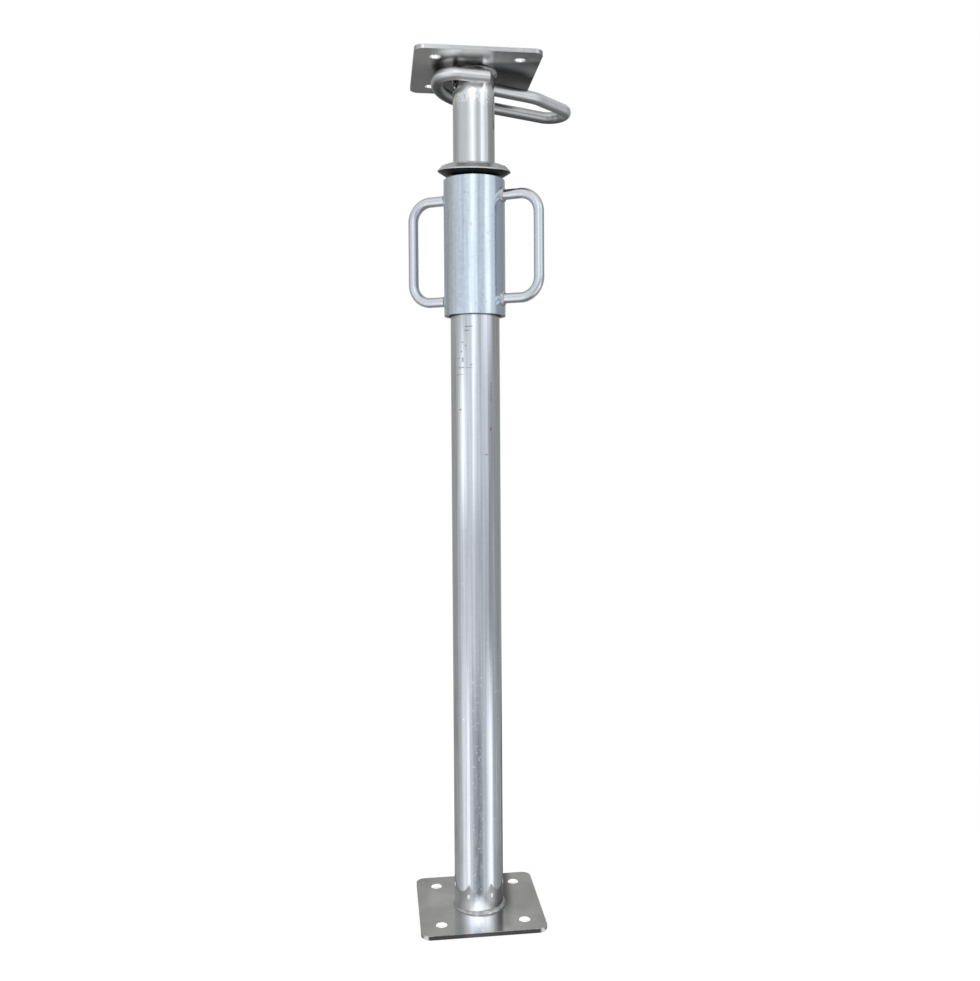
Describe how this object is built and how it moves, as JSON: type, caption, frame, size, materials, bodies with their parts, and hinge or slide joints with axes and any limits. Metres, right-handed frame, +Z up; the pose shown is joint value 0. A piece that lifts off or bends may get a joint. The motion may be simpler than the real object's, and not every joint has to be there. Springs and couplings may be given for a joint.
{
  "type": "adjustable steel prop",
  "caption": "Short telescopic steel prop with square end plates, a handled sleeve nut over a covered thread, a domed thrust ring and a captive G-hook pin.",
  "frame": {"origin": "centre of the base plate's underside, on the axis of the tubes", "axes": "+Z up along the tubes, X and Y along the sides of the square plates, -Y towards the front"},
  "size_m": [0.1727, 0.1455, 0.828],
  "materials": {
    "plate": "hot-dip galvanised, dark and glossy",
    "outer_tube": "galvanised, bright, with fine marks along it",
    "inner_tube": "galvanised, bright",
    "sleeve": "galvanised, satin, slightly blue",
    "handle": "galvanised, satin",
    "hook": "galvanised, satin",
    "thrust_ring": "galvanised, dull grey",
    "weld": "galvanised weld bead, rough"
  },
  "bodies": {
    "lower": {"base_plate": "plate", "base_weld": "weld", "outer_tube": "outer_tube", "screw_ring": "outer_tube", "screw_ring_weld": "weld"},
    "ring": {"thrust_ring": "thrust_ring"},
    "sleeve": {"sleeve_nut": "sleeve", "right_handle": "handle", "left_handle": "handle", "right_top_weld": "weld", "right_bottom_weld": "weld", "left_top_weld": "weld", "left_bottom_weld": "weld"},
    "inner": {"inner_tube": "inner_tube", "head_weld": "weld", "head_plate": "plate"},
    "hook": {"g_hook": "hook"}
  },
  "joints": [
    {"name": "ring_lift", "type": "slide", "parent": "lower", "child": "ring", "axis": [0, 0, 1], "range_m": [0, 0.06]},
    {"name": "sleeve_turn", "type": "hinge", "parent": "ring", "child": "sleeve", "pos_m": [0, 0, 0.65], "axis": [0, 0, 1], "range_deg": [0, 2700]},
    {"name": "tube_slide", "type": "slide", "parent": "lower", "child": "inner", "axis": [0, 0, 1], "range_m": [0, 0.45]},
    {"name": "hook_slide", "type": "slide", "parent": "inner", "child": "hook", "axis": [-0.9451, -0.3254, 0.0305], "range_m": [-0.005, 0.045]}
  ],
  "couplings": [
    {"joint": "ring_lift", "follows": "sleeve_turn", "m_per_rad": 0.0012732}
  ]
}
